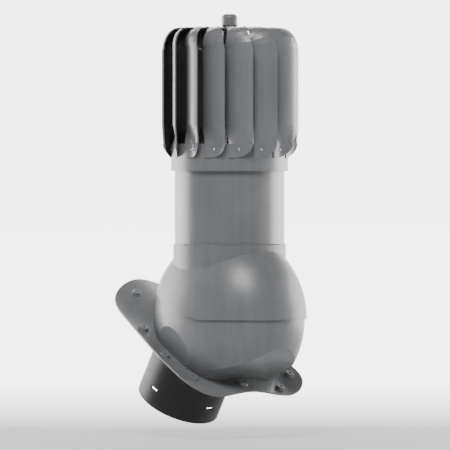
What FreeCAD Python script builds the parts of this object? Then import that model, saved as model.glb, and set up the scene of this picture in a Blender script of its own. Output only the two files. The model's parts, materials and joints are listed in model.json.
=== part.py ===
"""Rotating chimney cowl: a 15-vane wind rotor on an insulated pipe, a tilting hood and a wavy roof flange.

Millimetres, +Z up. The roof falls toward -Y and X runs across it. The origin is the centre of the spigot's open end.
Heights on the hood, pipe and rotor are counted from the hood's tilt axis. Roof shapes are made level, with their
origin where the spigot meets the flange, and are then turned on to the roof.
"""

import os

import FreeCAD
import Part
from FreeCAD import Placement, Rotation, Vector
from math import cos, pi, radians, sin, tan

# Roof, rotor axis and dome centre
ROOF_PITCH = 31.0
SPIGOT_BELOW = 129.0
ROTOR_Y = -139.8
DOME_Z = 149.3
SEAT = 0.1
SPAN = 600.0

# Hood and base, both turned about the tilt axis
HOOD_HALF_WIDTH = 120.0
HOOD_R = 155.0
SHELL = 3.0
BASE_HALF_WIDTH = 116.3
BASE_R = 151.3
EDGE_BEND_Y = -44.0
EDGE_SLOPE = 17.3
BASE_TOP_FRONT = 30.0
BASE_TOP_SLOPE = 10.0
BASE_TOP_Y = -155.0
# Bowl sections: height, half width, downhill end, uphill end, downhill corner
BOWL_ROWS = (
    (-12.0, 96.0, -128.0, 113.0, 40.0),
    (0.0, 98.0, -132.0, 116.0, 44.0),
    (50.0, 116.0, -166.0, 148.0, 62.0),
    (125.0, 136.0, -193.0, 180.0, 88.0),
    (300.0, 150.0, -212.0, 200.0, 100.0),
)
BOWL_ROUND = 0.85

# Collar on the hood
COLLAR_R = 99.3
COLLAR_BORE = 97.9
COLLAR_TOP = 132.2
COLLAR_BOTTOM = 86.0
LIP = 3.0
LIP_BORE = 93.5
NOTCH_DEPTH = 1.8
NOTCHES = ((176.8, 19.4), (219.5, 20.4))
TOOTH_FIRST = 257.5
TOOTH_STEP = 4.8
TOOTH_WIDTH = 2.4
TOOTH_COUNT = 8

# Roof flange, outline counted from the spigot
FLANGE_HALF = 136.0
FLANGE_DOWN = -176.0
FLANGE_STRAIGHT = -50.0
FLANGE_SHOULDER = 112.0
FLANGE_SHOULDER_Y = 104.0
FLANGE_UP = 197.0
FLANGE_CORNER = 65.0
FLANGE_SHEET = 3.0
WAVE = 5.0
WAVE_LENGTH = 170.0
WAVE_CREST = -14.0
WAVE_POINTS = 41
BOSS_R = 9.5
BOSS_TOP_R = 8.0
BOSS_HEIGHT = 6.0
BOSS_HOLE_R = 2.5
BOSSES = (
    (-103.0, 45.0),
    (-120.0, -46.0),
    (-109.0, -118.0),
    (-22.0, -154.0),
    (66.0, -158.0),
    (112.0, -122.0),
    (120.0, -46.0),
    (103.0, 45.0),
    (-45.0, 152.0),
    (40.0, 160.0),
)

# Duct parts
DUCT_R = 75.0
DUCT_WALL = 3.5
SHOULDER_R = 79.0
SHOULDER_LOW = -14.0
SLOT_LENGTH = 17.0
SLOT_HEIGHT = 5.0
SLOT_FROM_END = 29.0
SLOT_COUNT = 4
SLOT_AZIMUTH = 4.3
BEND_REACH = 90.0
HOSE_GAP = 0.2
HOSE_WALL = 1.5
HOSE_SLEEVE = 15.0
RIDGES = 9
RIDGE_R = 1.4
CLAMP_WALL = 1.3
CLAMP_WIDTH = 9.0
CLAMP_INSET = 4.0

# Vertical pipe
PIPE_R = 96.8
PIPE_WALL = 2.6
PIPE_TOP = 300.0
FOAM_BOTTOM = 195.0
CAP_HEIGHT = 2.5
THIN_DUCT = 2.0

# Spindle and hub
SPIDER_Z = 262.0
SPIDER_HEIGHT = 10.0
SPIDER_ARM = 8.0
SPIDER_ARMS = 3
SPIDER_HUB_R = 14.0
SPINDLE_R = 6.0
SPINDLE_BELOW = 9.0
NUT_FLATS = 18.0
NUT_HEIGHT = 7.0
RUNNING_FIT = 0.05
SLEEVE_WALL = 5.0
SLEEVE_LENGTH = 14.0
HUB_LENGTH = 62.0
HUB_WALL = 4.0
HUB_FLANGE_R = 32.0
HUB_FLANGE = 3.0
HUB_INSET = 6.0
END_FLOAT = 0.3
WASHER_R = 10.0
WASHER_HEIGHT = 3.0

# Rotor
VANE_COUNT = 15
FIRST_RIVET = -1.9
ROTOR_TOP = 513.3
FREE_U = 22.8
FREE_V = 119.5
BEND_START = 474.0
BEND_ACROSS = 30.0
BEND_STEPS = 5
TAB_END = 48.0
FLAT_FROM = 71.0
VANE_BOTTOM = 283.3
VANE_SHEET = 1.2
HEM = 2.6
TIP_WIDTH = 32.0
TIP_HEIGHT = 24.0
VANE_FOOT = ((-17.3, 103.5), (-9.0, 104.5), (0.0, 104.9), (11.0, 109.0), (22.8, 117.5))
VANE_BODY = ((-25.0, 88.0), (-14.0, 101.5), (0.0, 112.0), (11.0, 117.0), (22.8, 119.5))
VANE_TAB = ((-16.0, 119.5), (-11.0, 119.5), (-6.0, 119.5), (-1.0, 119.5), (4.0, 119.5))
VANE_TAB_END = ((-14.5, 119.5), (-10.2, 119.5), (-6.0, 119.5), (-1.8, 119.5), (2.5, 119.5))
FOOT_BLEND = 34.0
SKIRT_R = 103.4
SKIRT_WALL = 1.5
SKIRT_LOW = 260.3
SKIRT_TOP = 308.0
DISC_R = 70.0
DISC_SHEET = 2.0
RIVET_R = 3.0
RIVET_HEAD = 2.0
RIVET_SHANK = 1.6
LOWER_RIVET_Z = 298.0
TOP_RIVET_U = -5.8
TOP_RIVET_V = 56.2
KNOB_R = 14.0
KNOB_BALL = 15.6
KNOB_HEIGHT = 25.0

TILT_AXIS = Vector(1, 0, 0)
UP = Vector(0, 0, 1)
ORIGIN = Vector(0, 0, 0)
DOME = Vector(0, ROTOR_Y, DOME_Z)
CROSSING = -ROTOR_Y / tan(radians(ROOF_PITCH)) - DOME_Z
BEND_R = BEND_REACH / tan(radians(ROOF_PITCH / 2))
SPIGOT_LENGTH = -ROTOR_Y / sin(radians(ROOF_PITCH)) - BEND_REACH
DUCT_BOTTOM = CROSSING + BEND_REACH
DISC_TOP = ROTOR_TOP - VANE_SHEET
DISC_BOTTOM = DISC_TOP - DISC_SHEET
HUB_BOTTOM = DISC_BOTTOM - HUB_LENGTH
LOWER_SLEEVE = HUB_BOTTOM + HUB_INSET
UPPER_SLEEVE = DISC_BOTTOM - HUB_INSET - WASHER_HEIGHT - SLEEVE_LENGTH
HUB_BORE = SPINDLE_R + RUNNING_FIT + SLEEVE_WALL


def on_dome(shape):
    """Moves a shape made about the dome centre to its place."""
    copy = shape.copy()
    copy.translate(DOME)
    return copy


def on_roof(shape):
    """Turns a shape made level on to the roof."""
    copy = shape.copy()
    copy.translate(Vector(0, 0, SPIGOT_BELOW))
    copy.rotate(ORIGIN, TILT_AXIS, ROOF_PITCH)
    return copy


def around(shape, angle):
    """A copy turned about the vertical axis."""
    copy = shape.copy()
    copy.rotate(ORIGIN, UP, angle)
    return copy


def rod(radius, low, high):
    """A round bar about the vertical axis."""
    return Part.makeCylinder(radius, high - low, Vector(0, 0, low))


def tube(outer, inner, low, high):
    """A plain tube about the vertical axis."""
    return rod(outer, low, high).cut(rod(inner, low, high))


def box(low, high):
    """A box between two corners."""
    size = Vector(*high) - Vector(*low)
    return Part.makeBox(size.x, size.y, size.z, Vector(*low))


def dome(half_width, radius):
    """A ball narrowed along the tilt axis, so that it turns within a larger one about that axis."""
    narrow = FreeCAD.Matrix()
    narrow.scale(half_width / radius, 1, 1)
    return around(Part.makeSphere(radius), 90).transformGeometry(narrow)


def across_prism(points):
    """A prism along the tilt axis from (uphill, height) points."""
    corners = [Vector(-SPAN, y, z) for y, z in points]
    face = Part.Face(Part.makePolygon(corners + corners[:1]))
    return face.extrude(Vector(2 * SPAN, 0, 0))


def above_hood_edge():
    """The space above the hood's lower edge: level at the front, rising uphill behind."""
    rise = (SPAN - EDGE_BEND_Y) * tan(radians(EDGE_SLOPE))
    return across_prism([(-SPAN, 0), (EDGE_BEND_Y, 0), (SPAN, rise), (SPAN, SPAN), (-SPAN, SPAN)])


def below_base_top():
    """The space below the base's upper edge."""
    slope = tan(radians(BASE_TOP_SLOPE))
    front = BASE_TOP_FRONT + (-SPAN - BASE_TOP_Y) * slope
    back = BASE_TOP_FRONT + (SPAN - BASE_TOP_Y) * slope
    return across_prism([(-SPAN, -SPAN), (SPAN, -SPAN), (SPAN, back), (-SPAN, front)])


def rim_cut(start, sweep):
    """A notch in the collar's rim from one azimuth."""
    low = COLLAR_TOP - NOTCH_DEPTH
    piece = Part.makeCylinder(COLLAR_R + 1, COLLAR_TOP - low, Vector(0, 0, low), UP, sweep)
    return around(piece, start)


def make_hood():
    """The tilting hood: a thin dome with a collar and an inner lip for the pipe."""
    shell = dome(HOOD_HALF_WIDTH, HOOD_R).cut(dome(HOOD_HALF_WIDTH - SHELL, HOOD_R - SHELL))
    shell = shell.cut(rod(COLLAR_BORE, 0, SPAN)).common(above_hood_edge())
    collar = tube(COLLAR_R, COLLAR_BORE, COLLAR_BOTTOM, COLLAR_TOP)
    cuts = [rim_cut(start, sweep) for start, sweep in NOTCHES]
    cuts += [rim_cut(TOOTH_FIRST + i * TOOTH_STEP, TOOTH_WIDTH) for i in range(TOOTH_COUNT)]
    lip = tube(COLLAR_R, LIP_BORE, COLLAR_BOTTOM, COLLAR_BOTTOM + LIP)
    return on_dome(shell.fuse([collar.cut(cuts), lip]))


def bowl_section(row, shrink):
    """One rounded outline of the bowl, square to the spigot's axis."""
    low, half, down, up, corner = row
    half -= shrink
    down += shrink
    up -= shrink
    corner -= shrink
    inset = corner * (1 - cos(pi / 4))
    big = BOWL_ROUND * half
    turn = big * (1 - cos(pi / 4))
    at = [
        Vector(-half, up - big, low),
        Vector(-half, down + corner, low),
        Vector(-half + corner, down, low),
        Vector(half - corner, down, low),
        Vector(half, down + corner, low),
        Vector(half, up - big, low),
        Vector(half - big, up, low),
        Vector(-half + big, up, low),
    ]
    edges = [
        Part.makeLine(at[0], at[1]),
        Part.Arc(at[1], Vector(-half + inset, down + inset, low), at[2]).toShape(),
        Part.makeLine(at[2], at[3]),
        Part.Arc(at[3], Vector(half - inset, down + inset, low), at[4]).toShape(),
        Part.makeLine(at[4], at[5]),
        Part.Arc(at[5], Vector(half - turn, up - turn, low), at[6]).toShape(),
        Part.makeLine(at[6], at[7]),
        Part.Arc(at[7], Vector(-half + turn, up - turn, low), at[0]).toShape(),
    ]
    return Part.Wire(edges)


def bowl(shrink):
    """The bowl that rises from the base's rounded foot on the flange."""
    return on_roof(Part.makeLoft([bowl_section(row, shrink) for row in BOWL_ROWS], True, False))


def wave_block(low, high):
    """A waved slab across the roof between two offsets from the flange's top face."""
    points = []
    for i in range(WAVE_POINTS):
        x = -SPAN / 2 + SPAN * i / (WAVE_POINTS - 1)
        points.append(Vector(x, -SPAN / 2, WAVE * cos(2 * pi * (x - WAVE_CREST) / WAVE_LENGTH) + low))
    curve = Part.BSplineCurve()
    curve.interpolate(points)
    slab = curve.toShape().extrude(Vector(0, SPAN, 0)).extrude(Vector(0, 0, high - low))
    if slab.Volume < 0:
        slab.reverse()
    return slab


def make_base():
    """The fixed base: the hood's form just inside it, curving under to its foot on the flange."""
    outer = on_dome(dome(BASE_HALF_WIDTH, BASE_R)).common(bowl(0))
    inner = on_dome(dome(BASE_HALF_WIDTH - SHELL, BASE_R - SHELL)).common(bowl(SHELL))
    body = outer.cut(inner).common(on_dome(below_base_top()))
    return body.cut(on_roof(wave_block(-SPAN / 4, SEAT)))


def flange_outline():
    """The flange's outline: two rounded corners downhill and a round end uphill."""
    half = FLANGE_HALF
    inset = FLANGE_CORNER * (1 - cos(pi / 4))
    low = -SPAN / 8
    shoulder = Vector(FLANGE_SHOULDER, FLANGE_SHOULDER_Y, low)
    other = Vector(-FLANGE_SHOULDER, FLANGE_SHOULDER_Y, low)
    at = [
        Vector(-half, FLANGE_STRAIGHT, low),
        Vector(-half, FLANGE_DOWN + FLANGE_CORNER, low),
        Vector(-half + inset, FLANGE_DOWN + inset, low),
        Vector(-half + FLANGE_CORNER, FLANGE_DOWN, low),
        Vector(half - FLANGE_CORNER, FLANGE_DOWN, low),
        Vector(half - inset, FLANGE_DOWN + inset, low),
        Vector(half, FLANGE_DOWN + FLANGE_CORNER, low),
        Vector(half, FLANGE_STRAIGHT, low),
    ]
    edges = [
        Part.makeLine(at[0], at[1]),
        Part.Arc(at[1], at[2], at[3]).toShape(),
        Part.makeLine(at[3], at[4]),
        Part.Arc(at[4], at[5], at[6]).toShape(),
        Part.makeLine(at[6], at[7]),
        Part.makeLine(at[7], shoulder),
        Part.Arc(shoulder, Vector(0, FLANGE_UP, low), other).toShape(),
        Part.makeLine(other, at[0]),
    ]
    return Part.Face(Part.Wire(edges)).extrude(Vector(0, 0, SPAN / 4))


def make_flange():
    """The wavy roof flange with its raised screw bosses and the hole for the spigot."""
    plate = flange_outline().common(wave_block(-FLANGE_SHEET, 0))
    bosses = []
    holes = [rod(DUCT_R + SEAT, -SPAN / 8, SPAN / 8)]
    for x, y in BOSSES:
        foot = WAVE * cos(2 * pi * (x - WAVE_CREST) / WAVE_LENGTH) - FLANGE_SHEET / 2
        bosses.append(Part.makeCone(BOSS_R, BOSS_TOP_R, BOSS_HEIGHT + FLANGE_SHEET / 2, Vector(x, y, foot)))
        holes.append(Part.makeCylinder(BOSS_HOLE_R, SPAN / 8, Vector(x, y, -SPAN / 16)))
    return on_roof(plate.fuse(bosses).cut(holes))


def make_spigot():
    """The duct spigot, with four slots near its end and a shoulder under the flange."""
    top = SPIGOT_LENGTH - SPIGOT_BELOW
    body = tube(DUCT_R, DUCT_R - DUCT_WALL, -SPIGOT_BELOW, top)
    shoulder = tube(SHOULDER_R, DUCT_R - DUCT_WALL, SHOULDER_LOW, 2 * WAVE)
    body = body.fuse(shoulder.cut(wave_block(-FLANGE_SHEET - SEAT, SPAN / 8)))
    z = SLOT_FROM_END - SPIGOT_BELOW
    slot = box((DUCT_R - 2 * DUCT_WALL, -SLOT_LENGTH / 2, z), (DUCT_R + DUCT_WALL, SLOT_LENGTH / 2, z + SLOT_HEIGHT))
    return on_roof(body.cut([around(slot, SLOT_AZIMUTH + 360 * i / SLOT_COUNT) for i in range(SLOT_COUNT)]))


def bent(shape, share):
    """Carries a shape made about the hose's upper end a share of the way along the bend."""
    copy = shape.copy()
    copy.translate(Vector(0, 0, DUCT_BOTTOM))
    copy.rotate(Vector(0, BEND_R, DUCT_BOTTOM), TILT_AXIS, ROOF_PITCH * share)
    return on_dome(copy)


def make_hose():
    """The flexible hose between the spigot and the duct: a ridged bend with a plain sleeve at each end."""
    inner = DUCT_R + HOSE_GAP
    outer = inner + HOSE_WALL
    face = Part.Face(Part.Wire(Part.Circle(ORIGIN, UP, outer).toShape()))
    face = face.cut(Part.Face(Part.Wire(Part.Circle(ORIGIN, UP, inner).toShape())))
    face.translate(Vector(0, 0, DUCT_BOTTOM))
    wall = on_dome(face.revolve(Vector(0, BEND_R, DUCT_BOTTOM), TILT_AXIS, ROOF_PITCH))
    pieces = [bent(tube(outer, inner, 0, HOSE_SLEEVE), 0), bent(tube(outer, inner, -HOSE_SLEEVE, 0), 1)]
    ridge = tube(outer + RIDGE_R, inner + HOSE_WALL / 2, -RIDGE_R, RIDGE_R)
    pieces += [bent(ridge, (i + 1) / (RIDGES + 1)) for i in range(RIDGES)]
    return wall.Solids[0].fuse(pieces)


def make_clamp(share, low):
    """A hose clamp band at one end of the hose."""
    inner = DUCT_R + HOSE_GAP + HOSE_WALL + SEAT
    return bent(tube(inner + CLAMP_WALL, inner, low, low + CLAMP_WIDTH), share)


def make_spider():
    """The cross that holds the spindle in the top of the duct."""
    high = SPIDER_Z + SPIDER_HEIGHT
    arm = box((0, -SPIDER_ARM / 2, SPIDER_Z), (DUCT_R, SPIDER_ARM / 2, high))
    arms = [around(arm, 360 * i / SPIDER_ARMS) for i in range(SPIDER_ARMS)]
    body = rod(SPIDER_HUB_R, SPIDER_Z, high).fuse(arms).common(rod(DUCT_R - THIN_DUCT, SPIDER_Z, high))
    return on_dome(body.cut(rod(SPINDLE_R, 0, SPAN)))


def make_nut(low):
    """A hexagon nut on the spindle."""
    radius = NUT_FLATS / 2 / cos(pi / 6)
    corners = [Vector(radius * cos(i * pi / 3), radius * sin(i * pi / 3), low) for i in range(6)]
    body = Part.Face(Part.makePolygon(corners + corners[:1])).extrude(Vector(0, 0, NUT_HEIGHT))
    return on_dome(body.cut(rod(SPINDLE_R, 0, SPAN)))


def make_hub():
    """The hub under the top disc, bored for the two bearing sleeves."""
    body = rod(HUB_BORE + HUB_WALL, HUB_BOTTOM, DISC_BOTTOM)
    body = body.fuse(rod(HUB_FLANGE_R, DISC_BOTTOM - HUB_FLANGE, DISC_BOTTOM))
    return on_dome(body.cut(rod(HUB_BORE, HUB_BOTTOM, DISC_BOTTOM)))


def make_sleeve(low):
    """A bearing sleeve that runs on the spindle."""
    return on_dome(tube(HUB_BORE, SPINDLE_R + RUNNING_FIT, low, low + SLEEVE_LENGTH))


def section(points, place, hem=HEM):
    """One closed section of a vane: its outer line, and an inner line set in by the sheet and the hem."""
    outer = [Vector(u, v - FREE_V, 0) for u, v in points]
    inner = []
    for i, point in enumerate(outer):
        along = outer[min(i + 1, len(outer) - 1)] - outer[max(i - 1, 0)]
        inward = Vector(along.y, -along.x, 0).normalize()
        inner.append(point + inward * (hem if i == len(outer) - 1 else VANE_SHEET))
    curves = []
    for row in (outer, inner):
        curve = Part.BSplineCurve()
        curve.interpolate(row)
        curves.append(curve.toShape())
    edges = [curves[0], Part.makeLine(outer[-1], inner[-1]), curves[1], Part.makeLine(inner[0], outer[0])]
    wire = Part.Wire(Part.sortEdges(edges)[0])
    wire.Placement = place
    return wire


def between(first, second, share):
    """Points a share of the way from one section to another."""
    return [(a[0] + (b[0] - a[0]) * share, a[1] + (b[1] - a[1]) * share) for a, b in zip(first, second)]


def frame_at(angle, v, z):
    """Where a section stands: across the vane, then outward, tipped up by an angle."""
    across = Vector(-1, 0, 0)
    outward = Vector(0, cos(radians(angle)), sin(radians(angle)))
    return Placement(Vector(0, v, z), Rotation(across, outward, across.cross(outward), "ZXY"))


def vane_sections():
    """The vane's sections: up from its foot, over the bend and in to the disc."""
    rows = [
        section(VANE_FOOT, frame_at(0, FREE_V, VANE_BOTTOM)),
        section(VANE_FOOT, frame_at(0, FREE_V, SKIRT_TOP)),
        section(VANE_BODY, frame_at(0, FREE_V, SKIRT_TOP + FOOT_BLEND)),
        section(VANE_BODY, frame_at(0, FREE_V, BEND_START)),
    ]
    centre_v = FREE_V - BEND_ACROSS
    rise = ROTOR_TOP - BEND_START
    length = (BEND_ACROSS + rise) / 2 * pi / 2
    total = length + centre_v - FLAT_FROM
    for i in range(1, BEND_STEPS + 1):
        angle = 90.0 * i / BEND_STEPS
        share = length / total * i / BEND_STEPS
        v = centre_v + BEND_ACROSS * cos(radians(angle))
        z = BEND_START + rise * sin(radians(angle))
        rows.append(section(between(VANE_BODY, VANE_TAB, share), frame_at(angle, v, z)))
    rows.append(section(VANE_TAB, frame_at(90, FLAT_FROM, ROTOR_TOP), VANE_SHEET))
    rows.append(section(VANE_TAB_END, frame_at(90, TAB_END, ROTOR_TOP), VANE_SHEET))
    return rows


def make_vane(holes):
    """One vane: a curved sheet riveted to the skirt at its foot and bent over on to the disc."""
    vane = Part.makeLoft(vane_sections(), True, True)
    top = VANE_BOTTOM + TIP_HEIGHT
    inner = -FREE_U + TIP_WIDTH
    corner = box((-FREE_U - LIP, 0, VANE_BOTTOM - LIP), (inner, SPAN, top))
    oval = Part.Face(Part.Wire(Part.Ellipse(ORIGIN, TIP_WIDTH + SEAT, TIP_HEIGHT + SEAT).toShape()))
    oval = oval.extrude(Vector(0, 0, SPAN))
    oval.rotate(ORIGIN, TILT_AXIS, -90)
    oval.translate(Vector(inner, 0, top))
    return vane.cut([corner.cut(oval)] + holes)


def make_rivet(length):
    """A domed rivet: its head above the level plane and its shank below it."""
    ball = (RIVET_R ** 2 + RIVET_HEAD ** 2) / (2 * RIVET_HEAD)
    head = Part.makeSphere(ball, Vector(0, 0, RIVET_HEAD - ball)).common(rod(RIVET_R, 0, RIVET_HEAD))
    return head.fuse(rod(RIVET_SHANK, -length, 0))


def all_round(shape):
    """The same shape at all fifteen vane places."""
    return [on_dome(around(shape, FIRST_RIVET - 90 + 360 / VANE_COUNT * i)) for i in range(VANE_COUNT)]


def make_knob():
    """The round knob on the rotor, flattened above and below."""
    ball = Part.makeSphere(KNOB_BALL, Vector(0, 0, DISC_TOP + KNOB_HEIGHT / 2))
    return on_dome(ball.common(rod(KNOB_R, DISC_TOP, DISC_TOP + KNOB_HEIGHT)))


def export(name, shape):
    """Writes one piece after a check that it is sound."""
    solids = shape.Solids
    print(name, len(solids), shape.isValid(), round(shape.Volume / 1000, 1), "cm3")
    whole = solids[0] if len(solids) == 1 else Part.makeCompound(solids)
    whole.exportStep("parts/" + name + ".step")


def export_fixed():
    """Writes the parts that stay on the roof."""
    export("roof_flange", make_flange())
    export("dome_base", make_base())
    export("duct_spigot", make_spigot())
    export("flex_hose", make_hose())
    export("hose_clamp_lower", make_clamp(1, -CLAMP_INSET - CLAMP_WIDTH))


def export_cowl():
    """Writes the parts that tilt with the hood."""
    export("dome_cover", make_hood())
    export("outer_pipe", on_dome(tube(PIPE_R, PIPE_R - PIPE_WALL, COLLAR_BOTTOM + LIP, PIPE_TOP)))
    export("insulation_sleeve", on_dome(tube(PIPE_R - PIPE_WALL, DUCT_R, FOAM_BOTTOM, PIPE_TOP)))
    export("inner_duct", on_dome(tube(DUCT_R, DUCT_R - THIN_DUCT, DUCT_BOTTOM, PIPE_TOP)))
    export("pipe_cap", on_dome(tube(PIPE_R, DUCT_R - THIN_DUCT, PIPE_TOP, PIPE_TOP + CAP_HEIGHT)))
    export("hose_clamp_upper", make_clamp(0, CLAMP_INSET))
    export("spindle_spider", make_spider())
    end = UPPER_SLEEVE + SLEEVE_LENGTH + END_FLOAT + WASHER_HEIGHT
    low = LOWER_SLEEVE - END_FLOAT - WASHER_HEIGHT
    export("spindle", on_dome(rod(SPINDLE_R, SPIDER_Z - SPINDLE_BELOW, end)))
    export("spindle_nut_lower", make_nut(SPIDER_Z - NUT_HEIGHT))
    export("spindle_nut_upper", make_nut(SPIDER_Z + SPIDER_HEIGHT))
    export("thrust_washer", on_dome(tube(WASHER_R, SPINDLE_R, low, low + WASHER_HEIGHT)))
    export("retaining_washer", on_dome(tube(WASHER_R, SPINDLE_R, end - WASHER_HEIGHT, end)))


def export_rotor():
    """Writes the parts that spin."""
    lower_hole = Part.makeCylinder(RIVET_SHANK, SKIRT_R, Vector(0, SKIRT_R / 2, LOWER_RIVET_Z), Vector(0, 1, 0))
    upper_hole = rod(RIVET_SHANK, DISC_BOTTOM - 1, ROTOR_TOP + 1)
    upper_hole.translate(Vector(-TOP_RIVET_U, TOP_RIVET_V, 0))
    lower = make_rivet(VANE_SHEET + SKIRT_WALL)
    lower.rotate(ORIGIN, TILT_AXIS, -90)
    lower.translate(Vector(0, VANE_FOOT[2][1], LOWER_RIVET_Z))
    upper = make_rivet(VANE_SHEET + DISC_SHEET)
    upper.translate(Vector(-TOP_RIVET_U, TOP_RIVET_V, ROTOR_TOP))
    skirt = on_dome(tube(SKIRT_R, SKIRT_R - SKIRT_WALL, SKIRT_LOW, SKIRT_TOP))
    export("skirt_ring", skirt.cut(all_round(lower_hole)))
    export("top_disc", on_dome(rod(DISC_R, DISC_BOTTOM, DISC_TOP)).cut(all_round(upper_hole)))
    export("rotor_hub", make_hub())
    export("bearing_sleeve_lower", make_sleeve(LOWER_SLEEVE))
    export("bearing_sleeve_upper", make_sleeve(UPPER_SLEEVE))
    for i, placed in enumerate(all_round(make_vane([lower_hole, upper_hole, lower, upper]))):
        export("vane_%02d" % (i + 1), placed)
    export("skirt_rivets", Part.makeCompound(all_round(lower)))
    export("top_rivets", Part.makeCompound(all_round(upper)))
    export("top_knob", make_knob())


def main():
    """Builds and writes every piece."""
    os.makedirs("parts", exist_ok=True)
    export_fixed()
    export_cowl()
    export_rotor()


main()
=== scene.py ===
"""Blender scene of a rotating chimney cowl: finishes, the vanes' hems, soft studio light and camera."""

import json
import logging
from dataclasses import dataclass
from enum import Enum
from math import cos, pi, radians, sin

import bmesh
import bpy
from mathutils import Matrix, Vector


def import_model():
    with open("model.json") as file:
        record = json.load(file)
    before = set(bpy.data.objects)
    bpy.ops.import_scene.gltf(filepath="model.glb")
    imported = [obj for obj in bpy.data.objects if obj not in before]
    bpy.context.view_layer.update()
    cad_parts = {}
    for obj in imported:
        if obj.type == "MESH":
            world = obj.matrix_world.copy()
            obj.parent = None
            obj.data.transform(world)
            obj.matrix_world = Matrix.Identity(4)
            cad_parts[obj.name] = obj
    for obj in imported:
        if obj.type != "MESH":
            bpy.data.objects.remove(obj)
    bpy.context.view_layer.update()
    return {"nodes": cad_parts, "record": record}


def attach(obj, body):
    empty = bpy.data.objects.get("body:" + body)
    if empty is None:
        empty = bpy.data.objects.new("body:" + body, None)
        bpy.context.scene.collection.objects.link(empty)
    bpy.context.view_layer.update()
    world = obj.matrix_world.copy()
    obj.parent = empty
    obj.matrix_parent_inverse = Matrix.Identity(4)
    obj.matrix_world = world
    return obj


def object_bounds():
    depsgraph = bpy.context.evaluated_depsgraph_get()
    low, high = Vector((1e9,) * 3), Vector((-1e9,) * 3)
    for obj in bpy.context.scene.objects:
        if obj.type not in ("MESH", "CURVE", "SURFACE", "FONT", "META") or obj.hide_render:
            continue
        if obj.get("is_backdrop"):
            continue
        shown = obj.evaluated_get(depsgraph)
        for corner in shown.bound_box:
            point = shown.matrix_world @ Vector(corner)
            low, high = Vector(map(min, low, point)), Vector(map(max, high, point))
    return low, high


LOG = logging.getLogger("cowl")
MM = 0.001
ROTOR_Y = -139.8 * MM
DOME_Z = 149.3 * MM

# Grain of the finishes: cells per metre, and how far each kind shows
CLOUD_CELLS = 9.0
STREAK_CELLS = 60.0
STREAK_STRETCH = (1.0, 1.0, 0.06)
FINE_CELLS = 2600.0
FOAM_CELLS = 420.0
DUST_FROM = 0.35
DUST_TO = 0.7
PALER = 1.16
PALER_LIFT = 0.004
DEEPER = 0.9
FINE_GLOSS = 0.08
CLOUD_GLOSS = 0.14
COAT_ROUGHNESS = 0.25
BUMP_STRENGTH = 0.6


class Grain(Enum):
    """How a surface is broken up."""

    MOULDED = "moulded"
    ROLLED = "rolled"
    FOAMED = "foamed"


BUMP_DEPTH = {Grain.MOULDED: 0.00008, Grain.ROLLED: 0.00004, Grain.FOAMED: 0.0012}


class Socket:
    """One shader socket, with arithmetic that adds Math nodes."""

    def __init__(self, shader: "Shader", socket: bpy.types.NodeSocket) -> None:
        """Wraps a socket of a shader."""
        self.shader = shader
        self.socket = socket

    def _math(self, operation: str, first: object, second: object = 0.0) -> "Socket":
        """Adds a Math node on two values."""
        return self.shader.node("ShaderNodeMath", {"operation": operation}, {0: first, 1: second})

    def __add__(self, other: object) -> "Socket":
        """Sum."""
        return self._math("ADD", self, other)

    def __radd__(self, other: object) -> "Socket":
        """Sum, the other way round."""
        return self._math("ADD", other, self)

    def __sub__(self, other: object) -> "Socket":
        """Difference."""
        return self._math("SUBTRACT", self, other)

    def __rsub__(self, other: object) -> "Socket":
        """Difference, the other way round."""
        return self._math("SUBTRACT", other, self)

    def __mul__(self, other: object) -> "Socket":
        """Product."""
        return self._math("MULTIPLY", self, other)

    def __rmul__(self, other: object) -> "Socket":
        """Product, the other way round."""
        return self._math("MULTIPLY", other, self)

    def __truediv__(self, other: object) -> "Socket":
        """Quotient."""
        return self._math("DIVIDE", self, other)

    def __rtruediv__(self, other: object) -> "Socket":
        """Quotient, the other way round."""
        return self._math("DIVIDE", other, self)

    def __pow__(self, other: object) -> "Socket":
        """Power."""
        return self._math("POWER", self, other)

    def within(self, low: float, high: float) -> "Socket":
        """The value carried from low and high to 0 and 1, held to that range.

        Args:
            low: value that becomes 0.
            high: value that becomes 1.

        Returns:
            The socket with the new value.
        """
        return self.shader.node("ShaderNodeMapRange", {"clamp": True},
                                {"Value": self, "From Min": low, "From Max": high})


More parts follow.
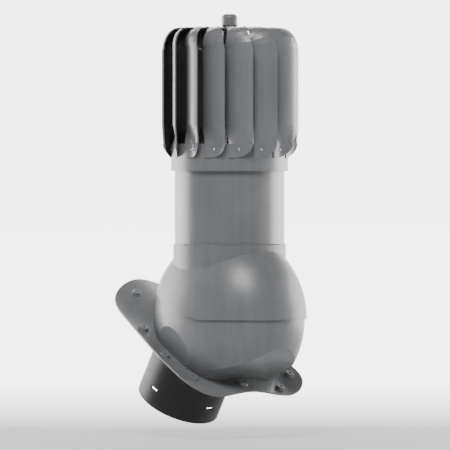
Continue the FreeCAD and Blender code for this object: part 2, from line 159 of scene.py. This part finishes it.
class Shader:
    """A material's node tree."""

    def __init__(self, name: str) -> None:
        """Starts an empty material with a Principled surface."""
        self.material = bpy.data.materials.new(name)
        self.material.use_nodes = True
        self.tree = self.material.node_tree
        self.surface = self.tree.nodes["Principled BSDF"]

    def node(self, kind: str, settings: dict, inputs: dict, output: object = 0) -> Socket:
        """Adds a node of any type.

        Args:
            kind: the node's type.
            settings: attributes, set first.
            inputs: values or sockets by input name or index.
            output: name or index of the output wanted.

        Returns:
            The output socket.
        """
        made = self.tree.nodes.new(kind)
        for key, value in settings.items():
            setattr(made, key, value)
        for key, value in inputs.items():
            self.feed(made.inputs[key], value)
        return Socket(self, made.outputs[output])

    def feed(self, target: bpy.types.NodeSocket, value: object) -> None:
        """Links a socket or sets a value."""
        if isinstance(value, Socket):
            self.tree.links.new(value.socket, target)
        else:
            target.default_value = value

    def place(self) -> Socket:
        """The point on the object, in metres."""
        return self.node("ShaderNodeTexCoord", {}, {}, "Object")

    def noise(self, scale: float, detail: float = 4.0, stretch: tuple = (1.0, 1.0, 1.0)) -> Socket:
        """Even noise over the object.

        Args:
            scale: cells per metre.
            detail: octaves.
            stretch: how much finer it is along X, Y and Z.

        Returns:
            The noise value.
        """
        at = self.node("ShaderNodeVectorMath", {"operation": "MULTIPLY"}, {0: self.place(), 1: stretch})
        return self.node("ShaderNodeTexNoise", {}, {"Vector": at, "Scale": scale, "Detail": detail}, 0)

    def mix(self, share: object, first: object, second: object) -> Socket:
        """A colour part of the way between two."""
        return self.node("ShaderNodeMix", {"data_type": "RGBA"}, {0: share, 6: first, 7: second}, 2)

    def bump(self, height: Socket, distance: float, strength: float) -> None:
        """Feeds the surface's normal from a height in metres times a distance."""
        inputs = {"Height": height, "Distance": distance, "Strength": strength}
        normal = self.node("ShaderNodeBump", {}, inputs)
        self.feed(self.surface.inputs["Normal"], normal)


@dataclass(frozen=True)
class Finish:
    """One finish: its colour, gloss and the grain that breaks it up."""

    name: str
    colour: tuple
    roughness: float
    grain: Grain
    metallic: float = 0.0
    coat: float = 0.0
    # Dark colour of the inward faces, also painted as shade on faces turned downwards
    inside_and_shade: tuple = ()
    specular: float = 0.5

    def material(self) -> bpy.types.Material:
        """Builds the finish's material.

        Returns:
            The material, ready for a mesh.
        """
        shader = Shader(self.name)
        cloud = shader.noise(CLOUD_CELLS, 5.0)
        streak = shader.noise(STREAK_CELLS, 4.0, STREAK_STRETCH)
        fine = shader.noise(FOAM_CELLS if self.grain is Grain.FOAMED else FINE_CELLS, 3.0)
        dust = (cloud * 0.6 + streak * 0.4).within(DUST_FROM, DUST_TO)
        pale = tuple(min(1.0, c * PALER + PALER_LIFT) for c in self.colour) + (1.0,)
        deep = tuple(c * DEEPER for c in self.colour) + (1.0,)
        colour = shader.mix(dust, deep, pale)
        # Inward faces take the dark inside colour; faces turned down take it as painted shade
        if self.inside_and_shade:
            colour = shader.mix(self.inside_and_shade_mask(shader), colour, self.inside_and_shade + (1.0,))
        shader.feed(shader.surface.inputs["Base Color"], colour)
        rough = self.roughness + (fine - 0.5) * FINE_GLOSS + (cloud - 0.5) * CLOUD_GLOSS
        shader.feed(shader.surface.inputs["Roughness"], rough)
        shader.surface.inputs["Metallic"].default_value = self.metallic
        shader.surface.inputs["Coat Weight"].default_value = self.coat
        shader.surface.inputs["Coat Roughness"].default_value = COAT_ROUGHNESS
        shader.surface.inputs["Specular IOR Level"].default_value = self.specular
        shader.bump(fine * 0.6 + streak * 0.4, BUMP_DEPTH[self.grain], BUMP_STRENGTH)
        return shader.material

    def inside_and_shade_mask(self, shader: Shader) -> Socket:
        """A mask of the faces that look towards the rotor's axis, and of the faces turned down, where the
        dark is painted shade.

        Args:
            shader: the material being built.

        Returns:
            1 on inward faces and on downward faces, whose dark is painted shade, and 0 on outward ones.
        """
        axis = (0.0, ROTOR_Y, 0.0)
        out = shader.node("ShaderNodeVectorMath", {"operation": "SUBTRACT"}, {0: shader.place(), 1: axis})
        level = shader.node("ShaderNodeVectorMath", {"operation": "MULTIPLY"}, {0: out, 1: (1.0, 1.0, 0.0)})
        radial = shader.node("ShaderNodeVectorMath", {"operation": "NORMALIZE"}, {0: level})
        facing = shader.node("ShaderNodeTexCoord", {}, {}, "Normal")
        product = {"operation": "DOT_PRODUCT"}
        dot = shader.node("ShaderNodeVectorMath", product, {0: facing, 1: radial}, "Value")
        under = shader.node("ShaderNodeSeparateXYZ", {}, {0: facing}, 2)
        # Painted shade: faces turned downwards are darkened as if shaded from above
        painted_underside_shade = (0.0 - under).within(0.3, 0.7)
        inward = (0.0 - dot).within(0.02, 0.25)
        return shader.node("ShaderNodeMath", {"operation": "MAXIMUM"}, {0: inward, 1: painted_underside_shade})


GREY = (0.125, 0.129, 0.134)
# Dark of the rotor's inward faces, also used as painted shade on downward faces
DARK_INSIDE_AND_SHADE = (0.022, 0.022, 0.024)
FINISHES = {
    "grey_plastic": Finish("moulded grey", GREY, 0.42, Grain.MOULDED, coat=0.15),
    "grey_sheet": Finish("painted grey sheet", GREY, 0.36, Grain.ROLLED, coat=0.25),
    "vane_sheet": Finish("painted vane sheet", GREY, 0.38, Grain.ROLLED, coat=0.2, inside_and_shade=DARK_INSIDE_AND_SHADE),
    "black_plastic": Finish("black duct plastic", (0.008, 0.008, 0.009), 0.45, Grain.MOULDED, specular=0.3),
    "black_rubber": Finish("hose rubber", (0.018, 0.018, 0.018), 0.6, Grain.MOULDED),
    "foam": Finish("foam sleeve", (0.03, 0.03, 0.032), 0.85, Grain.FOAMED),
    "pale_plastic": Finish("bearing sleeve", (0.55, 0.54, 0.5), 0.35, Grain.MOULDED),
    "bright_steel": Finish("plated steel", (0.5, 0.5, 0.51), 0.28, Grain.ROLLED, metallic=1.0),
}


def add_mesh(name: str, verts: list, faces: list, material: bpy.types.Material) -> bpy.types.Object:
    """Makes a mesh object with one material.

    Args:
        name: name of the piece.
        verts: corners in metres.
        faces: corner numbers of each face.
        material: its finish.

    Returns:
        The new object.
    """
    mesh = bpy.data.meshes.new(name)
    mesh.from_pydata([tuple(v) for v in verts], [], faces)
    work = bmesh.new()
    work.from_mesh(mesh)
    bmesh.ops.recalc_face_normals(work, faces=work.faces)
    work.to_mesh(mesh)
    work.free()
    mesh.materials.append(material)
    piece = bpy.data.objects.new(name, mesh)
    bpy.context.scene.collection.objects.link(piece)
    return piece


def swept(name: str, path: list, across: list, out: list, width: float, height: float,
          material: bpy.types.Material) -> bpy.types.Object:
    """A thin strip with a rounded back, swept along a path.

    Args:
        name: name of the piece.
        path: points of its middle line.
        across: a unit vector over the strip at each point.
        out: a unit vector away from the sheet at each point.
        width: full width of the strip.
        height: height of its back.
        material: its finish.

    Returns:
        The strip.
    """
    steps = 6
    verts = []
    for point, side, away in zip(path, across, out):
        for k in range(steps + 1):
            turn = pi * k / steps
            rise = sin(turn) ** 0.6 * height if 0 < k < steps else 0
            verts.append(point + side * (cos(turn) * width / 2) + away * rise)
    row = steps + 1
    faces = []
    for i in range(len(path) - 1):
        for k in range(row):
            nxt = (k + 1) % row
            faces.append((i * row + k, i * row + nxt, (i + 1) * row + nxt, (i + 1) * row + k))
    faces.append(tuple(range(row)))
    faces.append(tuple((len(path) - 1) * row + k for k in reversed(range(row))))
    return add_mesh(name, verts, faces, material)


@dataclass
class Rotor:
    """The spinning rotor: a hem on each vane's free edge."""

    materials: dict
    count: int = 15
    first: float = -1.9
    free_u: float = 22.8 * MM
    free_v: float = 119.5 * MM
    low: float = 310.0 * MM
    high: float = 474.0 * MM
    hem_width: float = 6.0 * MM
    hem_height: float = 0.5 * MM
    hem_sink: float = 0.3 * MM
    hem_side: tuple = (-0.94, 0.34, 0)
    flare_height: float = 32 * MM
    flare_depth: float = 2.0 * MM
    steps: int = 14

    def build(self) -> int:
        """Adds the hems.

        Returns:
            How many pieces were made.
        """
        base = Vector((0, ROTOR_Y, DOME_Z))
        side = Vector(self.hem_side).normalized()
        away = Vector((side.y, -side.x, 0))
        for i in range(self.count):
            turn = Matrix.Rotation(radians(self.first - 90 + 360 / self.count * i), 3, "Z")
            points = []
            for k in range(self.steps + 1):
                z = self.low + (self.high - self.low) * k / self.steps
                flare = max(0.0, 1 - (z - self.low) / self.flare_height) * self.flare_depth
                edge = Vector((-self.free_u, self.free_v - flare, z))
                mid = edge - side * (self.hem_width / 2) - away * self.hem_sink
                points.append(base + turn @ mid)
            across = [turn @ side] * len(points)
            out = [turn @ away] * len(points)
            hem = swept("vane_hem_%02d" % (i + 1), points, across, out,
                        self.hem_width, self.hem_height, self.materials["vane_sheet"])
            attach(hem, "rotor")
        return self.count


@dataclass
class Studio:
    """The plain floor, soft lights, and a camera at the photograph's angle."""

    azimuth: float = -40.8
    elevation: float = 0.5
    distance: float = 12.0
    frame_width: float = 794.0 * MM
    axis_offset: float = 8.1 * MM
    middle_z: float = 314.3 * MM
    floor_z: float = -0.062
    surround: float = 5.0
    front: float = 0.03
    side: float = 0.012
    screen_edge: float = 0.9
    screen_fade: float = 0.22
    floor_half: float = 30.0
    glow_from: float = 0.3
    glow_to: float = 3.0

    def behind(self) -> tuple:
        """The level direction from the camera past the object."""
        turn = radians(self.azimuth)
        return (-sin(turn), cos(turn), 0.0)

    def build(self) -> None:
        """Makes the studio."""
        self.floor()
        self.world()
        self.camera()
        self.light("key", (-1.7, -1.6, 2.8), 1.4, 120.0)
        self.light("fill", (1.6, -2.2, 0.9), 2.0, 8.0)
        self.light("left_rim", (-0.86, 1.92, 0.5), 1.6, 70.0)
        self.light("right_rim", (2.17, -0.69, 0.5), 1.6, 70.0)

    def floor(self) -> None:
        """A pale floor that glows behind the object, so that it meets the white surround."""
        shader = Shader("studio floor")
        colour = shader.mix(shader.noise(3.0).within(0.3, 0.7), (0.3, 0.3, 0.3, 1), (0.32, 0.32, 0.32, 1))
        shader.feed(shader.surface.inputs["Base Color"], colour)
        shader.surface.inputs["Roughness"].default_value = 0.9
        product = {"operation": "DOT_PRODUCT"}
        depth = shader.node("ShaderNodeVectorMath", product, {0: shader.place(), 1: self.behind()}, "Value")
        reach = depth.within(self.glow_from, self.glow_to)
        glow = shader.mix(reach, (0.1, 0.1, 0.1, 1), (1.0, 1.0, 1.0, 1))
        shader.feed(shader.surface.inputs["Emission Color"], glow)
        shader.surface.inputs["Emission Strength"].default_value = self.surround
        size = self.floor_half
        corners = [(-size, -size, self.floor_z), (size, -size, self.floor_z),
                   (size, size, self.floor_z), (-size, size, self.floor_z)]
        add_mesh("floor", corners, [(0, 1, 2, 3)], shader.material)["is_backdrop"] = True

    def world(self) -> None:
        """A surround that is white behind the object and darker round it, as between two studio screens."""
        world = bpy.data.worlds.new("studio")
        world.use_nodes = True
        tree = world.node_tree
        back = tree.nodes["Background"]
        place = tree.nodes.new("ShaderNodeTexCoord")
        dot = tree.nodes.new("ShaderNodeVectorMath")
        dot.operation = "DOT_PRODUCT"
        dot.inputs[1].default_value = self.behind()
        ramp = tree.nodes.new("ShaderNodeValToRGB")
        ramp.color_ramp.elements[0].position = 0.0
        ramp.color_ramp.elements[0].color = (self.front,) * 3 + (1.0,)
        ramp.color_ramp.elements[1].position = self.screen_edge
        ramp.color_ramp.elements[1].color = (1.0, 1.0, 1.0, 1.0)
        side = ramp.color_ramp.elements.new(self.screen_edge - self.screen_fade)
        side.color = (self.side,) * 3 + (1.0,)
        tree.links.new(place.outputs["Generated"], dot.inputs[0])
        tree.links.new(dot.outputs["Value"], ramp.inputs[0])
        tree.links.new(ramp.outputs[0], back.inputs["Color"])
        back.inputs["Strength"].default_value = self.surround
        bpy.context.scene.world = world

    def aim(self) -> Vector:
        """The point at the middle of the photograph's frame."""
        right = Vector((cos(radians(self.azimuth)), sin(radians(self.azimuth)), 0))
        return Vector((0, ROTOR_Y, self.middle_z)) - right * self.axis_offset

    def camera(self) -> None:
        """A long lens at the photograph's angle."""
        data = bpy.data.cameras.new("camera")
        data.sensor_width = 36.0
        data.lens = data.sensor_width * self.distance / self.frame_width
        data.clip_end = 100.0
        camera = bpy.data.objects.new("camera", data)
        bpy.context.scene.collection.objects.link(camera)
        turn = radians(self.azimuth)
        lift = radians(self.elevation)
        back = Vector((sin(turn) * cos(lift), -cos(turn) * cos(lift), sin(lift)))
        camera.location = self.aim() + back * self.distance
        camera.rotation_euler = (-back).to_track_quat("-Z", "Y").to_euler()
        bpy.context.scene.camera = camera

    def light(self, name: str, place: tuple, size: float, power: float) -> None:
        """A large soft light aimed at the object.

        Args:
            name: its name.
            place: where it stands, in metres.
            size: width of its square face.
            power: watts.
        """
        data = bpy.data.lights.new(name, "AREA")
        data.shape = "SQUARE"
        data.size = size
        data.energy = power
        lamp = bpy.data.objects.new(name, data)
        lamp.location = Vector(place)
        lamp.rotation_euler = (self.aim() - lamp.location).to_track_quat("-Z", "Y").to_euler()
        bpy.context.scene.collection.objects.link(lamp)


def dress(frame: dict, materials: dict) -> None:
    """Gives every CAD node the finish of its material slot.

    Args:
        materials: finish by slot.
    """
    for entry in frame["record"]["subparts"]:
        node = frame["nodes"][entry["node"]]
        node.data.materials.clear()
        node.data.materials.append(materials[entry["material_slot"]])
        LOG.info("%s: %s", entry["node"], entry["material_slot"])


def corners() -> list:
    """The shown object's lowest and highest corners as plain lists."""
    return [[float(v) for v in corner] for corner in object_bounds()]


def main() -> None:
    """Builds the scene in order."""
    logging.basicConfig(level=logging.INFO)
    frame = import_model()
    materials = {slot: finish.material() for slot, finish in FINISHES.items()}
    dress(frame, materials)
    LOG.info("rotor details: %d", Rotor(materials).build())
    Studio().build()


if __name__ == "__main__":
    main()
